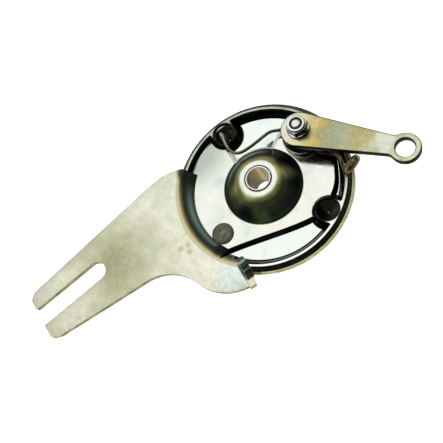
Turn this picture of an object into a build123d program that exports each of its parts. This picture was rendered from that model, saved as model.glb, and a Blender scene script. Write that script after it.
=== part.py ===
from build123d import *
from math import cos, radians, sin, sqrt
import os

# A moped drum-brake backing plate with its torque arm, cam lever and shoes. Millimetres.
# The origin is on the axle's axis, in the underside of the rim flange. +Z points out of the
# wheel, to the lever side, and +Y runs from the anchor pin to the cam.

# ---- driving dimensions -------------------------------------------------------------------
SHEET = 1.6                              # pressed sheet of the plate
FLANGE_R = 49.5
RING_FOOT_R = 48.6                       # outer wall of the raised ring, where it meets the flange
CREST_OUT_R, CREST_IN_R = 46.6, 45.0     # flat crest of the ring
FLOOR_R = 41.0                           # foot of the ring's inner wall
CREST_Z, PLATFORM_Z, FLOOR_Z = 5.0, 2.4, 0.0
FORM_Z = -6.0                            # the press form is filled down to here
PLATFORM_DRAFT = 48.0
DOME_TOP_Z = 13.6
DOME = [(10.3, DOME_TOP_Z), (12.6, 12.8), (15.0, 10.9), (17.2, 8.3), (19.4, 5.2),
        (21.7, PLATFORM_Z), (23.7, FLOOR_Z)]

HOLES = [(-38.0, 10.0), (38.0, 10.0)]    # two open holes in bosses
HOLE_R = 5.9
BOSS_TOP_R, BOSS_FOOT_R = 6.8, 10.6

AXLE_R, BUSH_R = 6.0, 7.15
BUSH_Z = (-6.8, 13.9)

PIVOT_Y = 34.0                           # the cam at +PIVOT_Y, the anchor pin at -PIVOT_Y
CAM_AXIS, ANCHOR_AXIS = (0.0, PIVOT_Y), (0.0, -PIVOT_Y)
ANCHOR_R, ANCHOR_HEAD_R, COLLAR_R = 4.0, 6.1, 6.0

ARM_T = 3.5                              # torque arm, lying on the ring's crest
ARM_IN_R, LIP_R = 47.3, 40.3             # where the lip starts to roll down, and where it ends
LIP_ARC = (206.0, 283.0)
SLOT_W, SLOT_END, SLOT_ANGLE = 10.6, (-41.4, -94.2), 11.7
LUG_T, LUG_R, LUG_HOLE_R, LUG_HOLE_Z = 4.0, 6.5, 3.4, 18.5
LUG_LEAN = 11                            # degrees, towards the axle
BEND = ((33.4, -46.9), (13.6, -40.9))    # line along which the lug is bent up

LEVER_T, LEVER_Z = 4.0, 10.8
LEVER_R, NECK_R, EYE_R, EYE_HOLE_R = 10.0, 4.9, 8.3, 5.0
LEVER_LENGTH, LEVER_ANGLE = 57.5, 24.0   # pivot to eye, and its rest position from +X

PIN_END_Z, GROOVE_Z, COLLAR_END_Z = -12.8, -11.8, -5.9
GROOVE_R, GROOVE_H = 3.2, 0.9            # groove for the anchor pin's clip
ANCHOR_WASHER_R, ANCHOR_WASHER_Z = 6.5, (-10.8, -10.1)
CLIP_R, CLIP_T, CLIP_GAP = 5.6, 0.8, 4.4

RUN = 0.05                               # running clearance of a pin or shaft
SHAFT_R, SLEEVE_R, BOSS_R = 5.0, 7.2, 8.2
SLEEVE_TOP_Z = 10.3
SEAL_R, SEAL_T, SEAL_POCKET = 6.3, 1.4, 1.5
TANG_R, TANG_FLAT, THREAD_R = 4.0, 3.0, 3.0
WASHER_R, WASHER_T = 6.2, 1.0
NUT_AF, HEX_H, NUT_COLLAR_R, LOCK_R = 10.0, 4.4, 4.7, 3.5
NUT_Z = LEVER_Z + LEVER_T + WASHER_T
NUT_TOP_Z = 22.0
CAM_HALF_T, CAM_HALF_L = 4.0, 6.5
CAM_Z = (-12.4, -3.2)

WIRE_R, COIL_R = 0.9, 9.7                # lever return spring
SEAT_R, SEAT_T = 10.9, 0.8
LOOP_CENTRE, LOOP_R = (34.4, 36.9, 8.0), 4.0

SHOE_Z, WEB_Z = (-14.2, -2.2), (-10.0, -6.2)
WEB_IN_R, TABLE_IN_R, LINING_IN_R, LINING_R = 27.0, 38.8, 40.4, 43.6
TABLE_ARC, LINING_ARC = (-52.0, 64.0), (-27.0, 58.0)     # right-hand shoe, from +X
SHOE_GAP, HEEL_GAP = 0.3, 0.6            # slack to the cam at rest, and half the gap at the anchor
RIVET_ANGLES, RIVET_Z = (-15.0, 15.5, 46.0), (-12.2, -4.2)
RIVET_R, RIVET_HEAD_R, RIVET_WELL_R = 1.1, 1.6, 1.7
HOOK_R, HOOK_ANGLE, HOOK_HOLE_R = 30.0, 40.0, 1.7        # shoe springs' holes in the webs
SHOE_WIRE_R, SHOE_COIL_R, SHOE_COIL_HALF, SHOE_TURNS = 0.6, 2.6, 9.0, 10


def polar(radius, angle, centre=(0.0, 0.0)):
    turn = radians(angle)
    return (centre[0] + radius * cos(turn), centre[1] + radius * sin(turn))


def finish(part, name):
    part.label = name
    export_step(part, "parts/" + name + ".step")
    print(name, round(part.volume, 1), len(part.solids()))


def disc(centre, radius, low, high, bore=0.0):
    """A plain or bored disc about an axis parallel to Z."""
    with BuildPart() as piece:
        with BuildSketch(Plane.XY.offset(low)):
            with Locations(centre):
                Circle(radius)
                if bore:
                    Circle(bore, mode=Mode.SUBTRACT)
        extrude(amount=high - low)
    return piece.part


def arc_band(inner, outer, arc, low, high):
    """A length of ring between two angles."""
    start, end = arc
    middle = (start + end) / 2
    with BuildPart() as piece:
        with BuildSketch(Plane.XY.offset(low)):
            with BuildLine():
                ThreePointArc(polar(outer, start), polar(outer, middle), polar(outer, end))
                Line(polar(outer, end), polar(inner, end))
                ThreePointArc(polar(inner, end), polar(inner, middle), polar(inner, start))
                Line(polar(inner, start), polar(outer, start))
            make_face()
        extrude(amount=high - low)
    return piece.part


def revolve_band(points, arc):
    """A (radius, z) section swept about the Z axis between two angles."""
    start, end = arc
    section_plane = Plane(origin=(0, 0, 0), x_dir=(*polar(1, start), 0),
                          z_dir=(*polar(1, start - 90), 0))
    with BuildPart() as piece:
        with BuildSketch(section_plane):
            with BuildLine():
                Polyline(*points, close=True)
            make_face()
        revolve(axis=Axis.Z, revolution_arc=end - start)
    return piece.part


def wire(points, bends, radius):
    """A round wire along straight runs joined by bends."""
    with BuildPart() as piece:
        with BuildLine() as route:
            FilletPolyline(*points, radius=bends)
        with BuildSketch(Plane(origin=route.wires()[0] @ 0, z_dir=route.wires()[0] % 0)):
            Circle(radius)
        sweep(path=route.wires()[0])
    return piece.part


os.makedirs("parts", exist_ok=True)

# ---- brake plate: the press form, less the same form moved down by one sheet ----------------
PLATFORM = [(-13, 43), (16, 43), (22.5, 33.5), (32, 23), (34.6, 12), (34, 1.2), (8.6, -37.3),
            (7, -43), (-18, -39.5), (-33, -28.5), (-43, -8), (-42, 4), (-30, 4), (-17, -2),
            (-8, 15), (-13, 29)]

with BuildPart() as bosses:
    with Locations(*[(x, y, (CREST_Z + FLOOR_Z) / 2) for x, y in HOLES]):
        Cone(BOSS_FOOT_R, BOSS_TOP_R, CREST_Z - FLOOR_Z)
    Cylinder(CREST_OUT_R, 4 * CREST_Z, mode=Mode.INTERSECT)

with BuildPart() as press_form:
    with BuildSketch(Plane.XZ):
        with BuildLine():
            Polyline((0, FORM_Z), (0, DOME_TOP_Z), *DOME, (FLOOR_R, FLOOR_Z),
                     (CREST_IN_R, CREST_Z), (CREST_OUT_R, CREST_Z), (RING_FOOT_R, SHEET),
                     (FLANGE_R, SHEET), (FLANGE_R, FORM_Z), close=True)
        make_face()
    revolve(axis=Axis.Z)
    with BuildSketch(Plane.XY.offset(PLATFORM_Z)):
        with BuildLine():
            Polyline(*PLATFORM, close=True)
        make_face()
    extrude(amount=FLOOR_Z - PLATFORM_Z, taper=-PLATFORM_DRAFT)
    add(bosses.part)
    with Locations((*CAM_AXIS, CREST_Z / 2)):
        Cone(BOSS_R + 2.0, BOSS_R, CREST_Z)

with BuildPart() as brake_plate:
    add(press_form.part)
    add(press_form.part.moved(Location((0, 0, -SHEET))), mode=Mode.SUBTRACT)
    with Locations(*[(x, y, 0) for x, y in HOLES]):
        Cylinder(HOLE_R, 4 * CREST_Z, mode=Mode.SUBTRACT)
    Cylinder(BUSH_R, 4 * DOME_TOP_Z, mode=Mode.SUBTRACT)
    with Locations((*CAM_AXIS, 0)):
        Cylinder(SLEEVE_R, 4 * CREST_Z, mode=Mode.SUBTRACT)
    with Locations((*ANCHOR_AXIS, 0)):
        Cylinder(ANCHOR_R, 4 * CREST_Z, mode=Mode.SUBTRACT)
finish(brake_plate.part, "brake_plate")

# ---- torque arm: flat fork, lip rolled into the dish, lug for the cable ---------------------
bend_run = sqrt((BEND[1][0] - BEND[0][0]) ** 2 + (BEND[1][1] - BEND[0][1]) ** 2)
along = ((BEND[1][0] - BEND[0][0]) / bend_run, (BEND[1][1] - BEND[0][1]) / bend_run)
across = (along[1], -along[0])                       # level, square to the lug, towards the lever
slot_dir = (-sin(radians(SLOT_ANGLE)), -cos(radians(SLOT_ANGLE)))
lean_out, lean_up = sin(radians(LUG_LEAN)), cos(radians(LUG_LEAN))
bend_z = CREST_Z + ARM_T                             # the lug leans about this level of the bend line
lug_plane = Plane(origin=(BEND[0][0] - bend_z * lean_out * across[0],
                          BEND[0][1] - bend_z * lean_out * across[1], bend_z * (1 - lean_up)),
                  x_dir=(*along, 0),
                  z_dir=(across[0] * lean_up, across[1] * lean_up, -lean_out))
LUG_SPAN = (-1.2, 11.8)
LUG_MID = (LUG_SPAN[0] + LUG_SPAN[1]) / 2


def inset(point):
    """A point of the bend line, moved into the lug so that lug and arm are one solid."""
    return (point[0] + across[0], point[1] + across[1])


with BuildPart() as torque_arm:
    with BuildSketch(Plane.XY.offset(CREST_Z)):
        with BuildLine():
            Polyline(polar(ARM_IN_R, LIP_ARC[0]), (-45.5, -24.5), (-49.2, -31.0), (-51.2, -40.0),
                     (-63.2, -126.5), (-62.6, -129.6), (-61.0, -130.8), (-50.5, -133.4),
                     (-47.0, -134.6), (-36.0, -137.4), (-34.0, -136.4), (-32.6, -133.0),
                     (-13.7, -80.0))
            TangentArc((-13.7, -80.0), (10.1, -63.3), tangent=(18.9, 53.0))
            ThreePointArc((10.1, -63.3), (26.5, -56.5), BEND[0])
            Polyline(BEND[0], inset(BEND[0]), inset(BEND[1]), polar(ARM_IN_R, LIP_ARC[1]))
            RadiusArc(polar(ARM_IN_R, LIP_ARC[1]), polar(ARM_IN_R, LIP_ARC[0]), ARM_IN_R)
        make_face()
        slot_far = (SLOT_END[0] + 60 * slot_dir[0], SLOT_END[1] + 60 * slot_dir[1])
        with Locations(Location(((SLOT_END[0] + slot_far[0]) / 2, (SLOT_END[1] + slot_far[1]) / 2),
                                90 - SLOT_ANGLE)):
            SlotCenterToCenter(60, SLOT_W, mode=Mode.SUBTRACT)
    extrude(amount=ARM_T)
    with BuildSketch(lug_plane):
        with Locations((LUG_MID, (CREST_Z + LUG_HOLE_Z) / 2)):
            Rectangle(LUG_SPAN[1] - LUG_SPAN[0], LUG_HOLE_Z - CREST_Z)
        with Locations((LUG_MID, LUG_HOLE_Z)):
            Circle(LUG_R)
            Circle(LUG_HOLE_R, mode=Mode.SUBTRACT)
    extrude(amount=LUG_T)
    add(revolve_band([(ARM_IN_R, CREST_Z + ARM_T), (44.6, 7.7), (42.3, 5.4), (LIP_R, PLATFORM_Z),
                      (FLOOR_R + (CREST_IN_R - FLOOR_R) * PLATFORM_Z / CREST_Z, PLATFORM_Z),
                      (CREST_IN_R, CREST_Z), (ARM_IN_R, CREST_Z)], LIP_ARC))
finish(torque_arm.part, "torque_arm")

# Three fillet welds join the arm's underside to the ring's outer wall.
with BuildPart() as weld_beads:
    for angle in (212.0, 240.0, 266.0):
        add(revolve_band([(CREST_OUT_R, CREST_Z), (50.4, CREST_Z), (47.9, 2.79)],
                         (angle, angle + 14.0)))
finish(weld_beads.part, "weld_beads")

# ---- axle bush -----------------------------------------------------------------------------
finish(disc((0, 0), BUSH_R, *BUSH_Z, bore=AXLE_R), "axle_bush")

# ---- anchor pin, its washer and clip -------------------------------------------------------
with BuildPart() as anchor_pin:
    add(disc(ANCHOR_AXIS, ANCHOR_R, PIN_END_Z, PLATFORM_Z))
    chamfer(anchor_pin.faces().sort_by(Axis.Z)[0].edges(), 0.5)
    add(disc(ANCHOR_AXIS, COLLAR_R, COLLAR_END_Z, PLATFORM_Z - SHEET))
    add(disc(ANCHOR_AXIS, ANCHOR_HEAD_R, PLATFORM_Z, PLATFORM_Z + 1.5))
    fillet(anchor_pin.faces().sort_by(Axis.Z)[-1].edges(), 1.0)
    add(disc(ANCHOR_AXIS, COLLAR_R, GROOVE_Z, GROOVE_Z + GROOVE_H, bore=GROOVE_R),
        mode=Mode.SUBTRACT)
finish(anchor_pin.part, "anchor_pin")
finish(disc(ANCHOR_AXIS, ANCHOR_WASHER_R, *ANCHOR_WASHER_Z, bore=ANCHOR_R), "anchor_washer")

with BuildPart() as anchor_clip:
    with BuildSketch(Plane.XY.offset(GROOVE_Z + (GROOVE_H - CLIP_T) / 2)):
        with Locations(ANCHOR_AXIS):
            Circle(CLIP_R)
            Circle(GROOVE_R, mode=Mode.SUBTRACT)
        with Locations((0, -PIVOT_Y + CLIP_R)):
            Rectangle(CLIP_GAP, 2 * CLIP_R, mode=Mode.SUBTRACT)
    extrude(amount=CLIP_T)
finish(anchor_clip.part, "anchor_clip")

# ---- cam sleeve, seal, spring seat, camshaft -----------------------------------------------
with BuildPart() as cam_sleeve:
    with BuildSketch(Plane.XY.offset(-SHEET)):
        with Locations(CAM_AXIS):
            Circle(SLEEVE_R)
            Circle(SHAFT_R + RUN, mode=Mode.SUBTRACT)
    extrude(amount=SLEEVE_TOP_Z + SHEET)
    with Locations((*CAM_AXIS, SLEEVE_TOP_Z)):
        Cylinder(SEAL_R, 2 * SEAL_POCKET, mode=Mode.SUBTRACT)
finish(cam_sleeve.part, "cam_sleeve")
finish(disc(CAM_AXIS, SEAL_R, SLEEVE_TOP_Z - SEAL_POCKET, SLEEVE_TOP_Z - SEAL_POCKET + SEAL_T,
            bore=SHAFT_R + RUN), "cam_seal")
finish(disc(CAM_AXIS, SEAT_R, CREST_Z, CREST_Z + SEAT_T, bore=SLEEVE_R), "spring_seat")

lever_plane = Plane(origin=(*CAM_AXIS, 0), x_dir=(*polar(1, LEVER_ANGLE), 0), z_dir=(0, 0, 1))

with BuildPart() as camshaft:
    with BuildSketch(Plane.XY.offset(CAM_Z[0])):
        with Locations(CAM_AXIS):
            Rectangle(2 * CAM_HALF_T, 2 * CAM_HALF_L)
    extrude(amount=CAM_Z[1] - CAM_Z[0])
    with Locations((*CAM_AXIS, (CAM_Z[1] + LEVER_Z) / 2)):
        Cylinder(SHAFT_R, LEVER_Z - CAM_Z[1])
    with BuildSketch(lever_plane.offset(LEVER_Z)):
        Circle(TANG_R)
        Rectangle(4 * TANG_R, 2 * TANG_FLAT, mode=Mode.INTERSECT)
    extrude(amount=LEVER_T)
    with Locations((*CAM_AXIS, (LEVER_Z + LEVER_T + NUT_TOP_Z) / 2)):
        Cylinder(THREAD_R, NUT_TOP_Z - LEVER_Z - LEVER_T)
finish(camshaft.part, "camshaft")

# ---- brake lever, washer, self-locking nut -------------------------------------------------
with BuildPart() as brake_lever:
    with BuildSketch(lever_plane.offset(LEVER_Z)):
        Circle(LEVER_R)
        with Locations((LEVER_LENGTH, 0)):
            Circle(NECK_R)
        make_hull()
        with Locations((LEVER_LENGTH, 0)):
            Circle(EYE_R)
            Circle(EYE_HOLE_R, mode=Mode.SUBTRACT)
        with BuildSketch(mode=Mode.SUBTRACT):
            Circle(TANG_R)
            Rectangle(4 * TANG_R, 2 * TANG_FLAT, mode=Mode.INTERSECT)
    extrude(amount=LEVER_T)
finish(brake_lever.part, "brake_lever")

finish(disc(CAM_AXIS, WASHER_R, NUT_Z - WASHER_T, NUT_Z, bore=THREAD_R + 0.2), "lever_washer")

with BuildPart() as lever_nut:
    with BuildSketch(Plane.XY.offset(NUT_Z)):
        with Locations(CAM_AXIS):
            RegularPolygon(NUT_AF / 2, 6, major_radius=False)
            Circle(THREAD_R, mode=Mode.SUBTRACT)
    extrude(amount=HEX_H)
    with BuildSketch(Plane.XY.offset(NUT_Z + HEX_H)):
        with Locations(CAM_AXIS):
            Circle(NUT_COLLAR_R)
            Circle(LOCK_R, mode=Mode.SUBTRACT)
    extrude(amount=NUT_TOP_Z - 0.2 - NUT_Z - HEX_H)
finish(lever_nut.part, "lever_nut")
finish(disc(CAM_AXIS, LOCK_R, NUT_Z + HEX_H, NUT_TOP_Z - 0.5, bore=THREAD_R), "lock_ring")

# ---- lever return spring: coil under the lever, one leg in the plate's hole -----------------
COIL_Z = CREST_Z + SEAT_T + WIRE_R + 0.05
COIL_PITCH = 2 * WIRE_R + 0.1
COIL_TURNS = 1.5
coil_start = (-COIL_R, PIVOT_Y, COIL_Z)
coil_end = (COIL_R, PIVOT_Y, COIL_Z + COIL_PITCH * COIL_TURNS)

with BuildPart() as lever_spring:
    with BuildLine() as coil:
        Helix(COIL_PITCH, COIL_PITCH * COIL_TURNS, COIL_R)
    with BuildSketch(Plane(origin=coil.wires()[0] @ 0, z_dir=coil.wires()[0] % 0)):
        Circle(WIRE_R)
    sweep(path=coil.wires()[0], is_frenet=True)
coil_body = lever_spring.part.rotate(Axis.Z, 180).moved(Location((0, PIVOT_Y, COIL_Z)))

with BuildPart() as lever_spring:
    add(coil_body)
    add(wire([coil_start, (-12.6, 29.2, COIL_Z - 0.2), (-16.6, 26.2, 6.4), (-19.9, 10.8, 6.0),
              (-23.5, 4.8, 6.0), (-30.0, 4.6, 6.6), (-36.0, 7.6, 6.2), (-41.0, 9.2, 2.6),
              (-41.6, 9.4, -1.2)], [1.8, 1.6, 3.0, 3.0, 4.0, 4.0, 1.6], WIRE_R))
    add(wire([coil_end, (14.5, 31.0, 9.2), (24.3, 36.4, 9.0), (34.4, 33.0, 8.0)],
             [2.5, 3.0], WIRE_R))
    with Locations(Location(LOOP_CENTRE, (0, 90, 0))):
        Torus(LOOP_R, WIRE_R)
finish(lever_spring.part, "lever_spring")

# ---- shoes: web, table, lining and rivets, right and mirrored left ---------------------------
rivet_places = [(angle, z) for angle in RIVET_ANGLES for z in RIVET_Z]


def radial_pin(angle, z, radius, start, end):
    """A cylinder that lies along a radius of the brake."""
    ray = (*polar(1, angle), 0)
    with BuildPart() as piece:
        with BuildSketch(Plane(origin=(*polar(start, angle), z), z_dir=ray)):
            Circle(radius)
        extrude(amount=end - start)
    return piece.part


with BuildPart() as right_web:
    with BuildSketch(Plane.XY.offset(WEB_Z[0])):
        Circle(TABLE_IN_R)
        Circle(WEB_IN_R, mode=Mode.SUBTRACT)
        with Locations((TABLE_IN_R / 2 + HEEL_GAP, 0)):
            Rectangle(TABLE_IN_R, 3 * TABLE_IN_R, mode=Mode.INTERSECT)
        with Locations(ANCHOR_AXIS):
            Circle(ANCHOR_R + RUN, mode=Mode.SUBTRACT)
        with Locations(CAM_AXIS):
            Rectangle(2 * (CAM_HALF_T + SHOE_GAP), 20, mode=Mode.SUBTRACT)
        with Locations(polar(HOOK_R, HOOK_ANGLE), polar(HOOK_R, -HOOK_ANGLE)):
            Circle(HOOK_HOLE_R, mode=Mode.SUBTRACT)
    extrude(amount=WEB_Z[1] - WEB_Z[0])

with BuildPart() as right_table:
    add(arc_band(TABLE_IN_R, LINING_IN_R, TABLE_ARC, *SHOE_Z))
    for angle, z in rivet_places:
        add(radial_pin(angle, z, RIVET_R, TABLE_IN_R - 1, LINING_IN_R + 1), mode=Mode.SUBTRACT)

with BuildPart() as right_lining:
    add(arc_band(LINING_IN_R, LINING_R, LINING_ARC, *SHOE_Z))
    for angle, z in rivet_places:
        add(radial_pin(angle, z, RIVET_R, LINING_IN_R - 1, LINING_R), mode=Mode.SUBTRACT)
        add(radial_pin(angle, z, RIVET_WELL_R, LINING_IN_R + 1.4, LINING_R + 1), mode=Mode.SUBTRACT)

with BuildPart() as right_rivets:
    for angle, z in rivet_places:
        add(radial_pin(angle, z, RIVET_R, TABLE_IN_R - 0.15, LINING_IN_R + 1.4))
        add(radial_pin(angle, z, RIVET_HEAD_R, TABLE_IN_R - 0.9, TABLE_IN_R - 0.12))
        add(radial_pin(angle, z, RIVET_HEAD_R, LINING_IN_R + 1.4, LINING_IN_R + 2.0))

for name, right in (("shoe_web", right_web), ("shoe_table", right_table),
                    ("lining", right_lining), ("lining_rivets", right_rivets)):
    left = right.part.mirror(Plane.YZ)
    finish(right.part, "right_" + name)
    finish(left, "left_" + name)

# ---- shoe springs: a coil between two hooks, at the cam end and at the anchor end ------------
hook_x, hook_y = polar(HOOK_R, HOOK_ANGLE)
web_mid = (WEB_Z[0] + WEB_Z[1]) / 2
hook_low = WEB_Z[0] - 1.2


def shoe_spring(level):
    """Tension spring across the brake at y = level, hooked down through both webs."""
    pitch = 2 * SHOE_COIL_HALF / SHOE_TURNS
    with BuildPart() as coil_piece:
        with BuildLine() as turns_line:
            Helix(pitch, 2 * SHOE_COIL_HALF, SHOE_COIL_R)
        with BuildSketch(Plane(origin=turns_line.wires()[0] @ 0, z_dir=turns_line.wires()[0] % 0)):
            Circle(SHOE_WIRE_R)
        sweep(path=turns_line.wires()[0], is_frenet=True)
    laid = coil_piece.part.rotate(Axis.Y, 90).moved(
        Location((-SHOE_COIL_HALF, level, hook_low + SHOE_COIL_R)))
    with BuildPart() as piece:
        add(laid)
        for side in (-1, 1):
            tail = (side * (SHOE_COIL_HALF - SHOE_WIRE_R / 2), level, hook_low)
            add(wire([tail, (side * (hook_x - 1.0), level, hook_low),
                      (side * hook_x, level, hook_low + 1.0), (side * hook_x, level, WEB_Z[1] + 1.2)],
                     [0.9, 0.7], SHOE_WIRE_R))
    return piece.part


finish(shoe_spring(hook_y), "cam_end_spring")
finish(shoe_spring(-hook_y), "anchor_end_spring")
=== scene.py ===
"""Looks of the drum-brake backing plate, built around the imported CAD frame.

Lengths are written in millimetres, in the row frame, and turned into metres when a mesh is made.
"""

from math import acos, atan2, cos, hypot, pi, radians, sin, sqrt

import bmesh
import bpy
import numpy as np
from mathutils import Matrix, Vector


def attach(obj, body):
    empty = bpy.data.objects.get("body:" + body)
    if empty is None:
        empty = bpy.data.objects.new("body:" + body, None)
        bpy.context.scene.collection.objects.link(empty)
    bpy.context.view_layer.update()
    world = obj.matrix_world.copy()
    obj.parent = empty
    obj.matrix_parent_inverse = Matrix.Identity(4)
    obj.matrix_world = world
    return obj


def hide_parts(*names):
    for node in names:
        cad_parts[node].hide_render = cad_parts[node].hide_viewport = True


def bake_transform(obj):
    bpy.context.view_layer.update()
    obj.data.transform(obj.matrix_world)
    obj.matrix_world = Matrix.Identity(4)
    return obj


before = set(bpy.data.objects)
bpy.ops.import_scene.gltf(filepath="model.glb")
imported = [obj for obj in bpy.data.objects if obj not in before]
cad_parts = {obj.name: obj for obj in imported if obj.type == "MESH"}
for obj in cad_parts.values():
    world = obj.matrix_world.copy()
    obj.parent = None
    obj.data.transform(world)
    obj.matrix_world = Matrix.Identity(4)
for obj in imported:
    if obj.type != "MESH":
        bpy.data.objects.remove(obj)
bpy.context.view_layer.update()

MM = 0.001

# ---- dimensions, as in the CAD
SHEET = 1.6
FLANGE_R, RING_FOOT_R, CREST_OUT_R, CREST_IN_R, FLOOR_R = 49.5, 48.6, 46.6, 45.0, 41.0
FLANGE_Z, CREST_Z, PLATFORM_Z = 1.6, 5.0, 2.4
DOME_PROFILE = [(0.0, 13.6), (9.4, 13.6), (10.8, 13.45), (12.6, 12.7), (15.0, 10.8), (17.2, 8.2),
                (19.4, 5.1), (21.0, 3.0), (22.4, 1.7), (24.4, -0.6), (60.0, -3.0)]
DOME_ZONE_R = 26.0
HOLES = [(-38.0, 10.0), (38.0, 10.0)]
HOLE_R, BOSS_TOP_R, BOSS_FOOT_R = 5.9, 6.7, 10.6
PIVOT = (0.0, 34.0)
ANCHOR = (0.0, -34.0)
ANCHOR_HOLE_R, HEAD_R = 4.0, 6.1
SLEEVE_R, CAM_BOSS_R = 7.2, 8.2
BUSH_R, AXLE_R, BUSH_LOW, BUSH_TOP = 7.15, 6.0, -6.8, 13.9
PLATFORM = [(-13, 43), (16, 43), (22.5, 33.5), (32, 23), (34.6, 12), (34, 1.2), (8.6, -37.3),
            (7, -43), (-18, -39.5), (-33, -28.5), (-43, -8), (-42, 4), (-30, 4), (-17, -2),
            (-8, 15), (-13, 29)]
CREASE_FROM, CREASE_RUN, CREASE_DEEP, CREASE_HALF = (-30, -3), (-7, -9), 0.14, 0.35
ARM_LOW, ARM_TOP, ARM_IN_R, LIP_R = 5.0, 8.5, 47.3, 39.3
LIP_ARC = (206.0, 283.0)
SLOT_HALF, SLOT_END, SLOT_ANGLE = 5.3, (-41.4, -94.2), 11.7
BEND = ((33.4, -46.9), (13.6, -40.9))
LUG_T, LUG_R, LUG_HOLE_R, LUG_HOLE_Z, LUG_SPAN, LUG_LEAN = 4.0, 6.5, 3.4, 18.5, (-1.2, 11.8), 11.0
LEVER_LOW, LEVER_TOP, LEVER_R, NECK_R, EYE_R, EYE_HOLE_R = 10.8, 14.8, 10.0, 4.9, 8.3, 5.0
LEVER_LENGTH, LEVER_ANGLE = 57.5, 24.0
NUT_LOW, HEX_TOP, NUT_TOP, STUD_TOP = 15.8, 20.2, 21.8, 22.0
NUT_AF, NUT_COLLAR_R, LOCK_R, THREAD_R = 10.0, 4.7, 3.5, 3.0
WASHER_IN_R, WASHER_R = 3.2, 6.2
SHAFT_R, TANG_R, CAM_LOW, CAM_TOP, CAM_HALF_T, CAM_HALF_L = 5.0, 4.0, -12.4, -3.2, 4.0, 6.5
SEAT_LOW, SEAT_TOP, SEAT_IN_R, SEAT_R = 5.0, 5.8, 7.25, 10.9
WIRE_R, COIL_R = 0.9, 9.7
FLOOR_LEVEL, FLOOR_HALF, FLOOR_STEPS = -14.2, 1500.0, 4
SHADE_CENTRE = (-7.0, 2.0)

# ---- small helpers


def polar(radius, angle, centre=(0.0, 0.0)):
    return (centre[0] + radius * cos(radians(angle)), centre[1] + radius * sin(radians(angle)))


def arc(centre, radius, start, end, steps):
    return [polar(radius, start + (end - start) * i / steps, centre) for i in range(steps + 1)]


def arc_through(a, b, c, steps):
    """Points of the circle through a, b and c, from a to c."""
    d = 2 * (a[0] * (b[1] - c[1]) + b[0] * (c[1] - a[1]) + c[0] * (a[1] - b[1]))
    squares = [p[0] ** 2 + p[1] ** 2 for p in (a, b, c)]
    x = (squares[0] * (b[1] - c[1]) + squares[1] * (c[1] - a[1]) + squares[2] * (a[1] - b[1])) / d
    y = (squares[0] * (c[0] - b[0]) + squares[1] * (a[0] - c[0]) + squares[2] * (b[0] - a[0])) / d
    turns = [atan2(p[1] - y, p[0] - x) for p in (a, b, c)]
    sweep = (turns[2] - turns[0]) % (2 * pi)
    if (turns[1] - turns[0]) % (2 * pi) > sweep:
        sweep -= 2 * pi
    radius = hypot(a[0] - x, a[1] - y)
    return [(x + radius * cos(turns[0] + sweep * i / steps),
             y + radius * sin(turns[0] + sweep * i / steps)) for i in range(steps + 1)]


def rounded(corners, steps=4):
    """A closed outline whose (x, y, radius) corners are rounded off."""
    points = []
    for i, (x, y, radius) in enumerate(corners):
        here = Vector((x, y))
        before = Vector(corners[i - 1][:2]) - here
        after = Vector(corners[(i + 1) % len(corners)][:2]) - here
        half = before.angle(after) / 2
        if radius <= 0 or half > radians(89):
            points.append((x, y))
            continue
        reach = min(radius / np.tan(half), before.length * 0.48, after.length * 0.48)
        start, end = here + before.normalized() * reach, here + after.normalized() * reach
        for k in range(steps + 1):
            t = k / steps
            p = start.lerp(here, t).lerp(here.lerp(end, t), t)
            points.append((p.x, p.y))
    return points


def cut_corners(points, rounds):
    """Chaikin's corner cutting on a closed outline."""
    pts = np.array(points, float)
    for _ in range(rounds):
        nxt = np.roll(pts, -1, axis=0)
        pts = np.stack([0.78 * pts + 0.22 * nxt, 0.22 * pts + 0.78 * nxt], axis=1).reshape(-1, 2)
    return pts


def soften(points, rounds=2):
    """Corner cutting on an open line of pairs, whose two ends stay."""
    pts = np.array(points, float)
    for _ in range(rounds):
        cut = np.stack([0.75 * pts[:-1] + 0.25 * pts[1:], 0.25 * pts[:-1] + 0.75 * pts[1:]], axis=1)
        pts = np.concatenate([pts[:1], cut.reshape(-1, 2), pts[-1:]])
    return pts


def new_object(name, mesh, body, smooth_angle=40.0):
    mesh.name = name
    mesh.shade_smooth()
    mesh.set_sharp_from_angle(angle=radians(smooth_angle))
    piece = bpy.data.objects.new(name, mesh)
    bpy.context.scene.collection.objects.link(piece)
    if body:
        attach(piece, body)
    return piece


def mesh_from(vertices, faces):
    mesh = bpy.data.meshes.new("made")
    mesh.from_pydata([(x * MM, y * MM, z * MM) for x, y, z in vertices], [], faces)
    mesh.validate()
    mesh.update()
    return mesh


def clean(mesh, merge=1e-6):
    shape = bmesh.new()
    shape.from_mesh(mesh)
    bmesh.ops.remove_doubles(shape, verts=shape.verts, dist=merge)
    bmesh.ops.recalc_face_normals(shape, faces=shape.faces)
    shape.to_mesh(mesh)
    shape.free()
    return mesh


def turned(sections, centre, merge):
    """A surface through closed (radius, z) sections, spread evenly about an axis parallel to Z."""
    around, count = len(sections), len(sections[0])
    vertices = [(centre[0] + r * cos(2 * pi * i / around), centre[1] + r * sin(2 * pi * i / around), z)
                for i, section in enumerate(sections) for r, z in section]
    faces = [(i * count + k, (i + 1) % around * count + k,
              (i + 1) % around * count + (k + 1) % count, i * count + (k + 1) % count)
             for i in range(around) for k in range(count)]
    return clean(mesh_from(vertices, faces), merge)


def lathe(profile, centre=(0.0, 0.0), segments=96):
    """One closed (radius, z) profile turned about an axis parallel to Z."""
    return turned([profile] * segments, centre, 1e-7)


def stamped_ring(inner, outer, low, high, ease):
    """A flat ring about the cam axis with eased outer edges."""
    drop = 0.2
    return lathe([(inner, low), (outer - ease, low), (outer, low + drop), (outer, high - drop),
                  (outer - ease, high), (inner, high)], PIVOT)


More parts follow.
